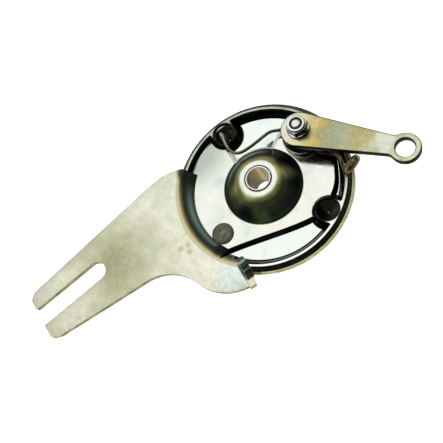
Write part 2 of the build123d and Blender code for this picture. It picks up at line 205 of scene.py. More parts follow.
def mesh_of(curve):
    """The mesh that a curve makes; the curve is used up."""
    holder = bpy.data.objects.new("made", curve)
    bpy.context.scene.collection.objects.link(holder)
    bpy.context.view_layer.update()
    mesh = bpy.data.meshes.new_from_object(holder.evaluated_get(bpy.context.evaluated_depsgraph_get()))
    bpy.data.objects.remove(holder)
    bpy.data.curves.remove(curve)
    return clean(mesh)


def plate_from(outlines, thickness, edge, steps=3):
    """A flat plate with rounded edges. Outlines are closed point lists: the first is the rim and
    the others are holes. It lies centred on z = 0."""
    curve = bpy.data.curves.new("made", "CURVE")
    curve.dimensions = "2D"
    curve.fill_mode = "BOTH"
    for outline in outlines:
        spline = curve.splines.new("POLY")
        spline.points.add(len(outline) - 1)
        for point, (x, y) in zip(spline.points, outline):
            point.co = (x * MM, y * MM, 0, 1)
        spline.use_cyclic_u = True
    curve.extrude = (thickness / 2 - edge) * MM
    curve.bevel_depth = edge * MM
    curve.bevel_resolution = steps
    curve.offset = -edge * MM
    return mesh_of(curve)


def mesh_and_free(shape):
    mesh = bpy.data.meshes.new("made")
    shape.to_mesh(mesh)
    shape.free()
    return mesh


def join(meshes):
    shape = bmesh.new()
    for mesh in meshes:
        shape.from_mesh(mesh)
    return mesh_and_free(shape)


def smooth_step(t):
    t = np.clip(t, 0.0, 1.0)
    return t * t * (3 - 2 * t)


def smooth_max(a, b, reach):
    h = np.clip(0.5 + 0.5 * (a - b) / reach, 0.0, 1.0)
    return b + (a - b) * h + reach * h * (1 - h) * 0.5


# ---- node helpers


class Nodes:
    """A node tree and a short way to add to it."""

    def __init__(self, owner):
        owner.use_nodes = True
        self.tree = owner.node_tree

    def add(self, kind, inputs=None, **props):
        node = self.tree.nodes.new(kind)
        for key, value in props.items():
            setattr(node, key, value)
        for key, value in (inputs or {}).items():
            if isinstance(value, bpy.types.NodeSocket):
                self.tree.links.new(value, node.inputs[key])
            else:
                node.inputs[key].default_value = value
        return node


class Shader(Nodes):
    """A material with one Principled shader, laid out in object coordinates."""

    def __init__(self, name, **constants):
        self.material = bpy.data.materials.new(name)
        super().__init__(self.material)
        self.bsdf = self.tree.nodes["Principled BSDF"]
        for key, value in constants.items():
            self.bsdf.inputs[key.replace("_", " ")].default_value = value
        self.place = self.add("ShaderNodeTexCoord").outputs["Object"]

    def noise(self, size, detail=3.0, rough=0.5, place=None, warp=0.0):
        """Noise whose features are about `size` millimetres."""
        node = self.add("ShaderNodeTexNoise", {"Vector": place or self.place, "Scale": 1 / (size * MM),
                                               "Detail": detail, "Roughness": rough, "Distortion": warp})
        return node.outputs["Fac"]

    def stretched(self, scale):
        """Object coordinates scaled, for grain that runs one way."""
        return self.add("ShaderNodeMapping", {"Vector": self.place, "Scale": scale}).outputs["Vector"]

    def remap(self, value, low, high, to_low=0.0, to_high=1.0, kind="SMOOTHSTEP"):
        node = self.add("ShaderNodeMapRange", {"Value": value, "From Min": low, "From Max": high,
                                               "To Min": to_low, "To Max": to_high},
                        interpolation_type=kind)
        return node.outputs["Result"]

    def maths(self, operation, *values):
        """One operation over two or more values, from left to right."""
        total = values[0]
        for value in values[1:]:
            node = self.add("ShaderNodeMath", {0: total, 1: value}, operation=operation)
            total = node.outputs["Value"]
        return total

    def ramp(self, value, stops):
        node = self.add("ShaderNodeValToRGB", {"Fac": value})
        elements = node.color_ramp.elements
        while len(elements) < len(stops):
            elements.new(0.5)
        for element, (at, _) in zip(elements, stops):
            element.position = at
        for element, (_, colour) in zip(elements, stops):
            element.color = (*colour, 1.0)
        return node.outputs["Color"]

    def mix(self, factor, a, b, blend="MIX"):
        a, b = [tint if isinstance(tint, bpy.types.NodeSocket) else (*tint, 1.0) for tint in (a, b)]
        node = self.add("ShaderNodeMix", {0: factor, 6: a, 7: b}, data_type="RGBA", blend_type=blend)
        return node.outputs[2]

    def two_tone(self, size, dark, light, detail=3.0, rough=0.5, start=0.3):
        """Patches of two colours, about `size` millimetres across."""
        return self.ramp(self.noise(size, detail, rough), [(start, dark), (0.7, light)])

    def uneven(self, size, low, high, detail=3.0, rough=0.5):
        """A value that wanders between low and high over about `size` millimetres."""
        return self.remap(self.noise(size, detail, rough), 0.3, 0.7, low, high)

    def height(self):
        return self.add("ShaderNodeSeparateXYZ", {"Vector": self.place}).outputs["Z"]

    def radius(self, centre=(0.0, 0.0)):
        """Distance in metres from an axis parallel to Z."""
        level = self.add("ShaderNodeVectorMath", {0: self.place, 1: (1, 1, 0)}, operation="MULTIPLY")
        node = self.add("ShaderNodeVectorMath",
                        {0: level.outputs["Vector"], 1: (centre[0] * MM, centre[1] * MM, 0)},
                        operation="DISTANCE")
        return node.outputs["Value"]

    def spot(self, centre, outer, inner, share=1.0):
        """`share` within `inner` millimetres of a point in plan, fading to 0 at `outer`."""
        return self.remap(self.radius(centre), outer * MM, inner * MM, 0.0, share)

    def steep(self, wall=0.55, flat=0.9, under=False):
        """1 on walls, and on undersides where `under` is set; 0 on the other flat faces."""
        normal = self.add("ShaderNodeNewGeometry").outputs["Normal"]
        level = self.add("ShaderNodeSeparateXYZ", {"Vector": normal}).outputs["Z"]
        if not under:
            level = self.add("ShaderNodeMath", {0: level}, operation="ABSOLUTE").outputs["Value"]
        return self.remap(level, flat, wall)

    def along(self, direction):
        node = self.add("ShaderNodeVectorMath", {0: self.place, 1: direction}, operation="DOT_PRODUCT")
        return node.outputs["Value"]

    def bump(self, value, depth):
        """Bump whose full height is `depth` millimetres."""
        node = self.add("ShaderNodeBump", {"Height": value, "Distance": depth * MM, "Strength": 1.0})
        self.tree.links.new(node.outputs["Normal"], self.bsdf.inputs["Normal"])

    def set(self, **sockets):
        for key, value in sockets.items():
            self.tree.links.new(value, self.bsdf.inputs[key.replace("_", " ")])
        return self.material


def plated(name, dark, light, patch=6.0, rough=(0.18, 0.32), grain=0.6, depth=0.004, wall=None):
    """Zinc-plated steel: patchy tint, uneven gloss, a fine rolled grain and, where `wall` is given,
    painted shade on the walls.
    """
    s = Shader(name, Metallic=1.0)
    colour = s.two_tone(patch, dark, light, 4.0, 0.6)
    # painted shade: steep walls take the `wall` colour
    if wall:
        colour = s.mix(s.steep(0.6, 0.93), colour, wall)
    s.bump(s.noise(grain, 3.0, 0.6), depth)
    return s.set(Base_Color=colour, Roughness=s.uneven(patch * 0.6, *rough, 4.0, 0.6))


# ---- camera, light and floor
CAMERA_PLACE = (189.1, -56.0, 405.6)
CAMERA_RIGHT = Vector((0.7058, 0.6431, -0.2980))
CAMERA_UP = Vector((-0.5605, 0.7641, 0.3210))
CAMERA_BACK = CAMERA_RIGHT.cross(CAMERA_UP)

camera_data = bpy.data.cameras.new("camera")
camera_data.lens = 67.05
camera_data.sensor_width = 36.0
camera = bpy.data.objects.new("camera", camera_data)
camera.matrix_world = (Matrix.Translation(Vector(CAMERA_PLACE) * MM)
                       @ Matrix((CAMERA_RIGHT, CAMERA_UP, CAMERA_BACK)).transposed().to_4x4())
bpy.context.scene.collection.objects.link(camera)
bpy.context.scene.camera = camera
bpy.context.scene.view_settings.view_transform = "Standard"


# (towards, starts at degrees, full at degrees, colour)
LOBES = [((0.0, 0.0, 1.0), 181.0, 180.5, (0.030, 0.034, 0.028)),
         ((0.0, 0.0, -1.0), 124.0, 106.0, (0.55, 0.56, 0.50)),
         ((-0.42, 0.06, 0.90), 33.0, 24.0, (1.02, 1.02, 1.00)),
         ((-0.05, 0.70, 0.71), 22.0, 8.0, (0.62, 0.60, 0.38)),
         ((-0.24, -0.66, 0.71), 22.0, 8.0, (0.62, 0.60, 0.38)),
         ((0.90, -0.40, 0.15), 28.0, 8.0, (0.30, 0.28, 0.18)),
         ((-0.90, 0.35, 0.12), 26.0, 8.0, (0.12, 0.14, 0.11))]


def build_world():
    """A dark studio with soft lights that fade in as the angle to each one narrows."""
    world = bpy.data.worlds.new("studio")
    bpy.context.scene.world = world
    nodes = Nodes(world)
    direction = nodes.add("ShaderNodeTexCoord").outputs["Generated"]
    total = None
    for towards, start, full, colour in LOBES:
        dot = nodes.add("ShaderNodeVectorMath", {0: direction, 1: Vector(towards).normalized()},
                        operation="DOT_PRODUCT")
        fade = nodes.add("ShaderNodeMapRange",
                         {"Value": dot.outputs["Value"], "From Min": cos(radians(start)),
                          "From Max": cos(radians(full))}, interpolation_type="SMOOTHSTEP")
        light = nodes.add("ShaderNodeVectorMath", {0: colour, "Scale": fade.outputs["Result"]},
                          operation="SCALE").outputs["Vector"]
        if total is not None:
            light = nodes.add("ShaderNodeVectorMath", {0: total, 1: light},
                              operation="ADD").outputs["Vector"]
        total = light
    background = nodes.tree.nodes["Background"]
    nodes.tree.links.new(total, background.inputs["Color"])
    background.inputs["Strength"].default_value = 1.0


def lamp(name, kind, energy, back, place=(0, 0, 0), **settings):
    """A light whose rays come from the direction `back`; mirrors don't show it."""
    data = bpy.data.lights.new(name, kind)
    data.energy = energy
    for key, value in settings.items():
        setattr(data, key, value)
    light = bpy.data.objects.new(name, data)
    light.location = Vector(place) * MM
    light.rotation_euler = Vector(back).to_track_quat("Z", "Y").to_euler()
    light.visible_glossy = False
    bpy.context.scene.collection.objects.link(light)


build_world()
lamp("key", "SUN", 3.3, (0.42, -0.52, 0.95), angle=radians(6.0))
# a narrow lamp beside the camera, to look into the axle's bore
BORE_VIEW = Vector((0, 0, 12))
lamp("peep", "SPOT", 9.0, Vector(CAMERA_PLACE) - BORE_VIEW, CAMERA_PLACE, spot_size=radians(2.6),
     spot_blend=0.3, shadow_soft_size=0.004)


def build_floor():
    """White paper that glows bright everywhere but under the brake, where a ring of shadow is painted
    nearly black.
    """
    side = [FLOOR_HALF * (2 * i / FLOOR_STEPS - 1) for i in range(FLOOR_STEPS + 1)]
    row = len(side)
    vertices = [(x, y, FLOOR_LEVEL) for y in side for x in side]
    corners = [j * row + i for j in range(FLOOR_STEPS) for i in range(FLOOR_STEPS)]
    faces = [(k, k + 1, k + row + 1, k + row) for k in corners]
    floor = new_object("floor", mesh_from(vertices, faces), None)
    s = Shader("floor_paper", Roughness=0.9)
    s.bsdf.inputs["Specular IOR Level"].default_value = 0.0
    paper = s.two_tone(90.0, (0.84, 0.84, 0.84), (0.86, 0.86, 0.86), 2.0)
    away = s.radius(SHADE_CENTRE)
    # painted shadow: a near-black ring on the paper under the brake, with its glow turned off there
    shade = s.maths("MULTIPLY", s.remap(away, 49.5 * MM, 47.0 * MM),
                    s.remap(away, 13.0 * MM, 20.0 * MM))
    glow = s.remap(shade, 0.0, 1.0, 1.0, 0.0)
    below = s.add("ShaderNodeNewGeometry").outputs["Backfacing"]
    floor.data.materials.append(s.set(Base_Color=s.mix(shade, paper, (0.01, 0.01, 0.01)),
                                      Emission_Color=paper, Emission_Strength=glow,
                                      Alpha=s.maths("SUBTRACT", 1.0, below)))
    floor.visible_glossy = False


build_floor()

# ---- brake plate: one pressed sheet, as a height over the (x, y) plane


def distance_inside(x, y, outline):
    """Signed distance to a closed outline, positive inside."""
    nearest = np.full(x.shape, 1e9)
    inside = np.zeros(x.shape, bool)
    for (ax, ay), (bx, by) in zip(outline, np.roll(outline, -1, axis=0)):
        ex, ey = bx - ax, by - ay
        t = np.clip(((x - ax) * ex + (y - ay) * ey) / (ex * ex + ey * ey), 0, 1)
        nearest = np.minimum(nearest, np.hypot(x - ax - t * ex, y - ay - t * ey))
        crosses = ((ay > y) != (by > y)) & (x < ax + (y - ay) * ex / (ey if ey else 1e-9))
        inside ^= crosses
    return np.where(inside, nearest, -nearest)


platform_outline = cut_corners(PLATFORM, 3)
dome_r, dome_z = soften(DOME_PROFILE).T


def crease_depth(x, y):
    """A short, shallow press mark on the platform."""
    (run_x, run_y), off_x, off_y = CREASE_RUN, x - CREASE_FROM[0], y - CREASE_FROM[1]
    square = run_x ** 2 + run_y ** 2
    along = (off_x * run_x + off_y * run_y) / square
    aside = (off_x * -run_y + off_y * run_x) / sqrt(square)
    return CREASE_DEEP * np.exp(-(aside / CREASE_HALF) ** 2) * ((along > 0) & (along < 1))


def pressed_height(x, y):
    """Top of the sheet: platform, dome, bosses, raised ring and flange, each run into the next."""
    r = np.hypot(x, y)
    platform = PLATFORM_Z * smooth_step((distance_inside(x, y, platform_outline) + 2.7) / 3.1)
    z = smooth_max(platform - crease_depth(x, y), np.interp(r, dome_r, dome_z), 0.9)
    for hx, hy in HOLES:
        reach = hypot(hx, hy)
        past = np.clip(((x - hx) * hx + (y - hy) * hy) / reach, 0, CREST_IN_R - reach)
        away = np.hypot(x - hx - past * hx / reach, y - hy - past * hy / reach)
        boss = CREST_Z * (1 - smooth_step((away - BOSS_TOP_R + 0.4) / (BOSS_FOOT_R - BOSS_TOP_R + 0.6)))
        z = smooth_max(z, boss, 0.5)
    away = np.hypot(x - PIVOT[0], y - PIVOT[1])
    z = smooth_max(z, CREST_Z * (1 - smooth_step((away - CAM_BOSS_R + 0.2) / 2.4)), 0.4)
    inner = CREST_Z * smooth_step((r - FLOOR_R + 0.3) / (CREST_IN_R - FLOOR_R + 0.5))
    z = smooth_max(z, inner, 1.2)
    z = np.where(r > DOME_ZONE_R, np.minimum(z, CREST_Z), z)
    fall = smooth_step((r - CREST_OUT_R + 0.4) / (RING_FOOT_R - CREST_OUT_R))
    outer = FLANGE_Z + (CREST_Z - FLANGE_Z) * (1 - fall)
    return np.where(r > (CREST_IN_R + CREST_OUT_R) / 2, outer, z)


def edge_drop(x, y):
    """How far the top falls at the rounded edges of the rim and the holes."""
    drop = np.zeros(x.shape)
    soft = 0.5
    r = np.hypot(x, y)
    nears = [FLANGE_R - r, r - BUSH_R - 0.15]
    nears += [np.hypot(x - hx, y - hy) - HOLE_R for hx, hy in HOLES]
    for near in nears:
        t = np.clip(1 - near / soft, 0, 1)
        drop = np.maximum(drop, soft * (1 - np.sqrt(1 - t * t * 0.98)))
    return drop


def plate_grid():
    """Points of a polar grid, closer together at the edges, and its four-cornered faces."""
    radii = np.concatenate([
        [7.3, 7.4, 7.55, 7.8], np.arange(8.2, 10.6, 0.5), np.arange(10.6, 23.8, 0.36),
        np.arange(23.8, 40.6, 0.4), np.arange(40.6, 49.2, 0.24), [49.2, 49.35, 49.45, FLANGE_R]])
    around = 720
    rings = len(radii)
    turn = np.arange(around) * 2 * pi / around
    x = np.outer(radii, np.cos(turn)).ravel()
    y = np.outer(radii, np.sin(turn)).ravel()
    ring, step = np.meshgrid(np.arange(rings - 1), np.arange(around), indexing="ij")
    nxt = (step + 1) % around
    quads = np.stack([ring * around + step, (ring + 1) * around + step,
                      (ring + 1) * around + nxt, ring * around + nxt], axis=-1).reshape(-1, 4)
    return x, y, quads


def cut_holes(x, y, quads):
    """Leaves out the faces inside the holes and pulls the points around them onto the circles."""
    mid_x, mid_y = x[quads].mean(axis=1), y[quads].mean(axis=1)
    keep = np.ones(len(quads), bool)
    holes = [(hx, hy, HOLE_R) for hx, hy in HOLES] + [(*PIVOT, SLEEVE_R), (*ANCHOR, ANCHOR_HOLE_R)]
    for hx, hy, hr in holes:
        gone = np.hypot(mid_x - hx, mid_y - hy) < hr
        rim = np.intersect1d(quads[gone & keep].ravel(), quads[~gone].ravel())
        away = np.hypot(x[rim] - hx, y[rim] - hy)
        x[rim] = hx + (x[rim] - hx) * hr / away
        y[rim] = hy + (y[rim] - hy) * hr / away
        keep &= ~gone
    return quads[keep]


def build_plate():
    """The pressed sheet: its top, the same faces one sheet lower, and walls at the open edges."""
    x, y, quads = plate_grid()
    quads = cut_holes(x, y, quads)
    z = pressed_height(x, y)
    top = np.stack([x, y, z - edge_drop(x, y)], axis=1)
    bottom = np.stack([x, y, z - SHEET], axis=1)
    count = len(x)
    edges = {}
    for a, b, c, d in quads.tolist():
        for edge in ((a, b), (b, c), (c, d), (d, a)):
            edges[edge] = edges.get(edge, 0) + 1
    walls = [(b, a, a + count, b + count) for a, b in edges if (b, a) not in edges]
    faces = quads.tolist() + (quads[:, ::-1] + count).tolist() + walls
    mesh = mesh_from(np.concatenate([top, bottom]).tolist(), faces)
    shape = bmesh.new()
    shape.from_mesh(mesh)
    bmesh.ops.delete(shape, geom=[v for v in shape.verts if not v.link_faces], context="VERTS")
    shape.to_mesh(mesh)
    shape.free()
    return mesh


plate = new_object("brake_plate_pressing", build_plate(), "plate", 50.0)
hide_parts("brake_plate")


# points towards the lit side: colours use it for painted highlights on the ring and rim, and painted
# shade on their far side
RIM_LIGHT_SIDE = (0.8, -0.6, 0.0)
# painted reflection spots on the dome, light and dark: (centre, radius, tint)
DOME_PAINTED_REFLECTIONS = [((12.5, -15.0), 7.0, (0.10, 0.13, 0.06)), ((-7.0, -12.0), 6.5, (0.42, 0.40, 0.22)),
              ((7.5, 12.0), 6.5, (0.38, 0.37, 0.22)), ((-2.5, -15.0), 6.0, (0.14, 0.16, 0.08)),
              ((-12.0, 9.5), 7.0, (0.03, 0.05, 0.03))]


def sheet_colour(s, r, z):
    """The flat faces: cool below, warmer on the platform, with painted shade at the left and a painted
    highlight on the ring's lit side.
    """
    clouds = s.noise(14.0, 4.0, 0.55, warp=0.4)
    low = s.ramp(clouds, [
        (0.30, (0.74, 0.84, 0.84)), (0.50, (0.88, 0.95, 0.90)), (0.70, (0.90, 0.93, 0.84))])
    warm = s.ramp(clouds, [
        (0.28, (0.66, 0.74, 0.70)), (0.42, (0.84, 0.87, 0.80)), (0.60, (0.92, 0.92, 0.84)),
        (0.76, (0.84, 0.80, 0.64))])
    colour = s.mix(s.remap(z, 0.5 * MM, 2.0 * MM), low, warm)
    # painted shade: darker towards the left of the sheet
    colour = s.mix(s.spot((-50.0, -8.0), 30.0, 12.0, 0.75), colour, (0.36, 0.44, 0.38))
    crest = s.two_tone(9.0, (0.30, 0.31, 0.26), (0.62, 0.64, 0.54))
    # painted highlight: the ring's crest near white on its lit side
    crest = s.mix(s.remap(s.along(RIM_LIGHT_SIDE), 5.0 * MM, 30.0 * MM), crest, (0.98, 1.0, 0.90))
    crest = s.mix(s.remap(r, 40.0 * MM, 43.0 * MM), colour, crest)
    return s.mix(s.remap(z, 3.4 * MM, 4.6 * MM), colour, crest)


def lit_step(s, r, z):
    """1 on the platform's step where it faces the light, clear of the bosses."""
    lit_side = s.remap(s.along((-0.7, 0.7, 0.0)), 1.0 * MM, 8.0 * MM)
    clear = [s.remap(s.radius(hole), 9.6 * MM, 11.0 * MM) for hole in HOLES]
    return s.maths("MULTIPLY", lit_side, s.remap(z, 2.45 * MM, 2.3 * MM),
                   s.remap(r, 39.0 * MM, 37.0 * MM), s.steep(0.88, 0.97), *clear)


def dome_colour(s, r):
    """Painted reflections: rings of light and dark down the dome's side, with soft painted spots of
    light and dark.
    """
    # painted reflection and shade: bright at the top of the dome, dark down its slope
    sides = s.ramp(s.remap(r, 10.0 * MM, 22.0 * MM, kind="LINEAR"), [
        (0.0, (0.84, 0.84, 0.76)), (0.06, (0.66, 0.65, 0.50)), (0.18, (0.34, 0.34, 0.20)),
        (0.32, (0.08, 0.09, 0.05)), (0.5, (0.012, 0.016, 0.010)), (0.8, (0.004, 0.006, 0.005)),
        (0.92, (0.008, 0.03, 0.024)), (1.0, (0.004, 0.006, 0.005))])
    for centre, size, tint in DOME_PAINTED_REFLECTIONS:
        sides = s.mix(s.spot(centre, size, 0.5, 0.8), sides, tint)
    tone = s.two_tone(9.0, (0.55, 0.60, 0.42), (1.0, 0.98, 0.80), start=0.35)
    return s.mix(1.0, sides, tone, "MULTIPLY")


def plate_material():
    s = Shader("bright_zinc_pressing", Metallic=1.0)
    r, z = s.radius(), s.height()
    # painted shade: the steep walls of the pressing made nearly black
    wall = s.two_tone(8.0, (0.003, 0.004, 0.004), (0.012, 0.022, 0.018), start=0.35)
    colour = s.mix(s.steep(0.88, 0.97), sheet_colour(s, r, z), wall)
    on_step = lit_step(s, r, z)
    # painted highlight: pale colour on the lit side of the platform's step
    colour = s.mix(on_step, colour, (0.86, 0.93, 0.94))
    # painted shade: near-black rings round the edges of the two holes
    for hole in HOLES:
        colour = s.mix(s.spot(hole, HOLE_R + 1.3, HOLE_R + 0.8, 0.95), colour, (0.004, 0.005, 0.004))
    # painted light and shade: the rim's edge beige on its lit side and near black on the far side
    painted_rim_light = s.remap(s.along(RIM_LIGHT_SIDE), -20.0 * MM, 25.0 * MM)
    rim = s.two_tone(5.0, (0.32, 0.30, 0.13), (0.52, 0.48, 0.27))
    on_rim = s.remap(r, 48.0 * MM, 48.35 * MM)
    colour = s.mix(on_rim, colour, s.mix(painted_rim_light, (0.03, 0.03, 0.02), rim))
    on_dome = s.maths("MULTIPLY", s.remap(r, 22.6 * MM, 21.9 * MM), s.remap(r, 9.5 * MM, 10.4 * MM))
    colour = s.mix(on_dome, colour, dome_colour(s, r))
    rough = s.mix(on_dome, s.uneven(4.0, 0.10, 0.18, 4.0, 0.6), (0.28, 0.28, 0.28))
    s.bump(s.noise(2.2, 3.0, 0.6), 0.004)
    matt = [(on_dome, 0.25), (on_rim, 0.6), (on_step, 0.75)]
    diffuse = s.maths("MAXIMUM", *[s.maths("MULTIPLY", part, share) for part, share in matt])
    return s.set(Base_Color=colour, Roughness=rough, Metallic=s.maths("SUBTRACT", 1.0, diffuse))


plate.data.materials.append(plate_material())

# ---- torque arm: flat fork, rolled lip, bent-up lug


def meet(point, direction, a, b):
    """Where the line from point along direction crosses the line a-b."""
    ex, ey = b[0] - a[0], b[1] - a[1]
    det = direction[0] * -ey + direction[1] * ex
    t = ((a[0] - point[0]) * -ey + (a[1] - point[1]) * ex) / det
    return (point[0] + t * direction[0], point[1] + t * direction[1])


def arm_outline():
    """The outline from the lip's left end, round the fork and the lobe, to the lip's right end."""
    slot = (-sin(radians(SLOT_ANGLE)), -cos(radians(SLOT_ANGLE)))
    side = (-slot[1], slot[0])
    left = (SLOT_END[0] - SLOT_HALF * side[0], SLOT_END[1] - SLOT_HALF * side[1])
    right = (SLOT_END[0] + SLOT_HALF * side[0], SLOT_END[1] + SLOT_HALF * side[1])
    left_foot = meet(left, slot, (-61.0, -130.8), (-50.5, -133.4))
    right_foot = meet(right, slot, (-47.0, -134.6), (-36.0, -137.4))
    towards = 90 - SLOT_ANGLE
    start, end = polar(ARM_IN_R, LIP_ARC[0]), polar(ARM_IN_R, LIP_ARC[1])
    first = rounded([(*start, 0), (-45.5, -24.5, 3.0), (-49.2, -31.0, 6.0), (-51.2, -40.0, 8.0),
                     (-63.2, -126.5, 5.0), (-61.0, -130.8, 2.0), (*left_foot, 0.8), (*left, 0)])[:-1]
    round_end = arc(SLOT_END, SLOT_HALF, towards + 90, towards - 90, 24)
    last = rounded([(*right, 0), (*right_foot, 0.8), (-36.0, -137.4, 2.0), (-32.6, -133.0, 3.0),
                    (-13.7, -80.0, 0)])[1:]
    sweep_centre = (9.98, -88.45)
    hollow = arc_through((-13.7, -80.0), polar(25.14, 120, sweep_centre), (10.1, -63.3), 20)[1:]
    lobe = arc_through((10.1, -63.3), (26.5, -56.5), BEND[0], 18)[1:]
    run = hypot(BEND[1][0] - BEND[0][0], BEND[1][1] - BEND[0][1])
    across = ((BEND[1][1] - BEND[0][1]) / run, -(BEND[1][0] - BEND[0][0]) / run)
    inset = [(p[0] + across[0], p[1] + across[1]) for p in BEND]
    return first + round_end + last + hollow + lobe + inset + [end]


def lip_section():
    """(radius, z) points of the lip: down its top from the arm, and back up its underside."""
    top = [(ARM_IN_R, ARM_TOP), (45.9, ARM_TOP), (44.6, 8.0), (43.0, 6.5), (41.3, 4.6), (LIP_R, 2.45)]
    low = [(42.4, 2.6), (43.8, 3.6), (44.6, 4.6), (45.4, ARM_LOW), (ARM_IN_R, ARM_LOW)]
    return soften(top), low


def build_arm():
    outline = arm_outline()
    top_line, low_line = lip_section()
    steps = 77
    angles = [LIP_ARC[1] + (LIP_ARC[0] - LIP_ARC[1]) * i / steps for i in range(steps + 1)]
    shape = bmesh.new()

    def vertex(x, y, z):
        return shape.verts.new((x * MM, y * MM, z * MM))

    top_grid = [[vertex(*polar(r, a), z) for r, z in top_line] for a in angles]
    low_grid = [[vertex(*polar(r, a), z) for r, z in low_line] for a in angles]
    rim = outline[1:-1]
    top_rim = [vertex(x, y, ARM_TOP) for x, y in rim]
    low_rim = [vertex(x, y, ARM_LOW) for x, y in rim]
    top_loop = [top_grid[-1][0]] + top_rim + [row[0] for row in top_grid[:-1]]
    low_loop = [low_grid[-1][-1]] + low_rim + [row[-1] for row in low_grid[:-1]]
    shape.faces.new(top_loop)
    shape.faces.new(low_loop[::-1])
    chain_top = [top_grid[-1][0]] + top_rim + [top_grid[0][0]]
    chain_low = [low_grid[-1][-1]] + low_rim + [low_grid[0][-1]]
    for i in range(len(chain_top) - 1):
        shape.faces.new((chain_top[i], chain_low[i], chain_low[i + 1], chain_top[i + 1]))
    for i in range(steps):
        here, there = top_grid[i] + low_grid[i], top_grid[i + 1] + low_grid[i + 1]
        for k in range(len(here) - 1):
            shape.faces.new((here[k], there[k], there[k + 1], here[k + 1]))
    shape.faces.new(top_grid[0] + low_grid[0])
    shape.faces.new((top_grid[-1] + low_grid[-1])[::-1])
    bmesh.ops.recalc_face_normals(shape, faces=shape.faces)
    sharp = [e for e in shape.edges if len(e.link_faces) == 2 and e.calc_face_angle(0) > radians(50)]
    bmesh.ops.bevel(shape, geom=sharp, offset=0.35 * MM, segments=3, profile=0.5, affect="EDGES",
                    clamp_overlap=True)
    return mesh_and_free(shape)


def build_lug():
    middle = (LUG_SPAN[0] + LUG_SPAN[1]) / 2
    outline = ([(LUG_SPAN[0], ARM_LOW + 0.3), (LUG_SPAN[1], ARM_LOW + 0.3)]
               + arc((middle, LUG_HOLE_Z), LUG_R, 0, 180, 36))
    hole = arc((middle, LUG_HOLE_Z), LUG_HOLE_R, 0, 360, 40)[:-1]
    mesh = plate_from([outline, hole], LUG_T, 0.45)
    run = Vector((BEND[1][0] - BEND[0][0], BEND[1][1] - BEND[0][1], 0)).normalized()
    across = Vector((run.y, -run.x, 0))
    upright = Matrix((run, Vector((0, 0, 1)), across)).transposed().to_4x4()
    lift = Matrix.Translation(Vector((0, -ARM_TOP, LUG_T / 2)) * MM)
    lean = Matrix.Rotation(radians(LUG_LEAN), 4, "X")
    mesh.transform(Matrix.Translation(Vector((*BEND[0], ARM_TOP)) * MM) @ upright @ lean @ lift)
    return mesh


arm = new_object("torque_arm_body", join([build_arm(), build_lug()]), "plate", 35.0)
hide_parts("torque_arm")


LUG_CLIMB = (-1.589, 0.481, 0.87)        # across the lug's bands
ARM_STAINS = [(-8.5, -51.0), (-5.5, -53.0), (-10.5, -55.0)]


def arm_face_colour(s):
    """Satin zinc: pale clouds, yellower towards the fork, specks, stains and a painted bluish reflection
    of the lug on the lobe.
    """
    clouds = s.noise(18.0, 5.0, 0.6, warp=0.6)
    colour = s.ramp(clouds, [
        (0.30, (0.84, 0.85, 0.66)), (0.50, (0.93, 0.94, 0.77)), (0.70, (1.0, 1.0, 0.86))])
    wander = s.uneven(12.0, -6.0 * MM, 6.0 * MM, 4.0, 0.6)
    band = s.remap(s.maths("ADD", s.radius((-34.0, -84.0)), wander), 40.0 * MM, 5.0 * MM, 0.0, 0.85)
    yellow = s.mix(s.remap(clouds, 0.4, 0.6), (0.42, 0.45, 0.25), (0.50, 0.46, 0.22))
    colour = s.mix(band, colour, yellow)
    speck = s.noise(0.7, 4.0, 0.8)
    colour = s.mix(s.remap(speck, 0.50, 0.66, 0.0, 0.50), colour, (0.40, 0.40, 0.24))
    colour = s.mix(s.remap(speck, 0.46, 0.36, 0.0, 0.45), colour, (1.0, 1.0, 0.90))
    for centre in ARM_STAINS:
        colour = s.mix(s.spot(centre, 2.4, 0.6, 0.55), colour, (0.42, 0.40, 0.18))
    # painted reflection: the lobe by the bend pale blue, mirroring the lug
    return s.mix(s.spot((22.0, -47.0), 13.0, 4.0, 0.9), colour, (0.86, 1.0, 0.96))


def lip_colour(s, across):
    """Painted light and shade in bands down the rolled lip, from the arm's face (0) to the lip's foot
    (1).
    """
    lip = s.ramp(across, [
        (0.06, (0.52, 0.48, 0.28)), (0.20, (0.54, 0.50, 0.29)), (0.29, (0.28, 0.25, 0.11)),
        (0.41, (0.08, 0.08, 0.04)), (0.52, (0.010, 0.012, 0.010)), (0.63, (0.05, 0.09, 0.075)),
        (0.76, (0.20, 0.33, 0.28)), (0.86, (0.14, 0.22, 0.19)), (0.93, (0.01, 0.01, 0.01)),
        (0.98, (0.75, 0.80, 0.78))])
    # painted shade: the lip nearly black towards its upper end
    painted_lip_shade = s.remap(s.along((0.0, 1.0, 0.0)), -38.0 * MM, -23.0 * MM, 0.0, 0.95)
    return s.mix(s.maths("MULTIPLY", painted_lip_shade, s.remap(across, 0.12, 0.30)), lip, (0.010, 0.014, 0.010))


def lug_colour(s):
    """Painted light and shade in bands over the bent-up lug, seen along its edge."""
    climb = s.remap(s.along(LUG_CLIMB), -70.2 * MM, -34.2 * MM, kind="LINEAR")
    return s.ramp(climb, [
        (0.0, (0.70, 0.66, 0.46)), (0.24, (0.62, 0.58, 0.38)), (0.27, (0.004, 0.005, 0.004)),
        (0.49, (0.004, 0.005, 0.004)), (0.53, (0.10, 0.16, 0.13)), (0.57, (0.005, 0.02, 0.014)),
        (0.72, (0.008, 0.03, 0.02)), (0.76, (0.42, 0.50, 0.47)), (0.80, (0.04, 0.05, 0.045)),
        (0.97, (0.12, 0.13, 0.125))])


